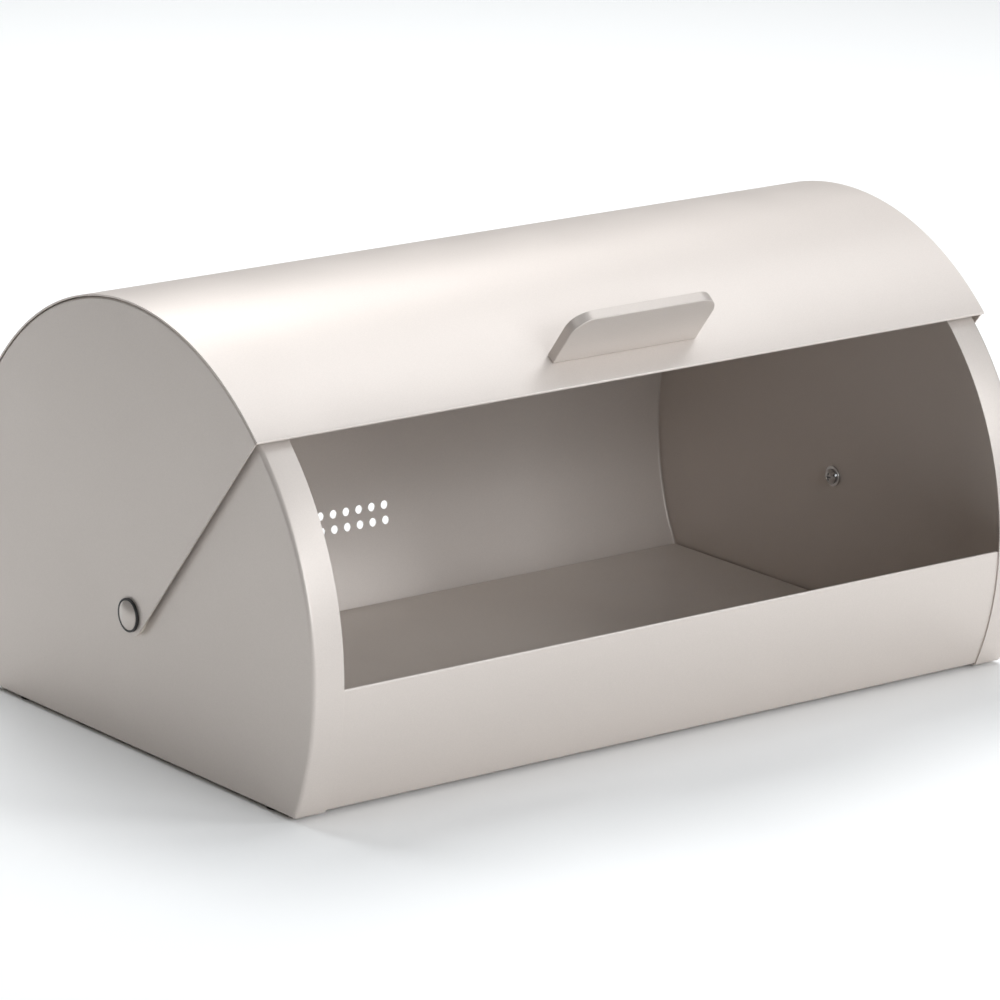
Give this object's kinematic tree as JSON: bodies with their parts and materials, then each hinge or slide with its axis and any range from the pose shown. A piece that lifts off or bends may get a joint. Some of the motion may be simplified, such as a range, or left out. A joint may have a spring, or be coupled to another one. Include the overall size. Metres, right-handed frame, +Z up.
{
  "type": "bread box",
  "caption": "Bread box with a barrel body of bent sheet steel, an open front, vent holes in the back and a one-piece curved lid that swings on two side pivots.",
  "frame": {"origin": "on the worktop, under the middle of the box, with the lid half open", "axes": "+X along the length of the box and the pivot axis, towards the right-hand end seen from the front; -Y is the open front; +Z is up"},
  "size_m": [0.412, 0.276, 0.207],
  "materials": {
    "powder_coat": "satin powder coat, warm light grey",
    "cast_handle": "satin powder coat on a die-cast tab",
    "post_finish": "satin lacquer on turned steel",
    "zinc_plate": "bright zinc plate",
    "white_nylon": "natural nylon",
    "black_nylon": "black nylon",
    "rubber_pad": "matt rubber"
  },
  "bodies": {
    "base": {"left_side_panel": "powder_coat", "right_side_panel": "powder_coat", "front_panel": "powder_coat", "floor_panel": "powder_coat", "back_shell": "powder_coat", "left_pivot_post": "post_finish", "left_spacer_washer": "white_nylon", "left_outer_washer": "black_nylon", "left_inner_washer": "zinc_plate", "left_pivot_screw": "zinc_plate", "right_pivot_post": "post_finish", "right_spacer_washer": "white_nylon", "right_outer_washer": "black_nylon", "right_inner_washer": "zinc_plate", "right_pivot_screw": "zinc_plate", "foot_front_left": "rubber_pad", "foot_front_right": "rubber_pad", "foot_rear_left": "rubber_pad", "foot_rear_right": "rubber_pad"},
    "lid": {"lid_cover": "powder_coat", "lid_left_cheek": "powder_coat", "lid_right_cheek": "powder_coat", "lid_stop_strip": "powder_coat", "handle": "cast_handle", "handle_screw_left": "zinc_plate", "handle_screw_right": "zinc_plate"}
  },
  "joints": [
    {"name": "lid_hinge", "type": "hinge", "parent": "base", "child": "lid", "pos_m": [0, 0, 0.0645], "axis": [1, 0, 0], "range_deg": [-39, 48.5]}
  ]
}
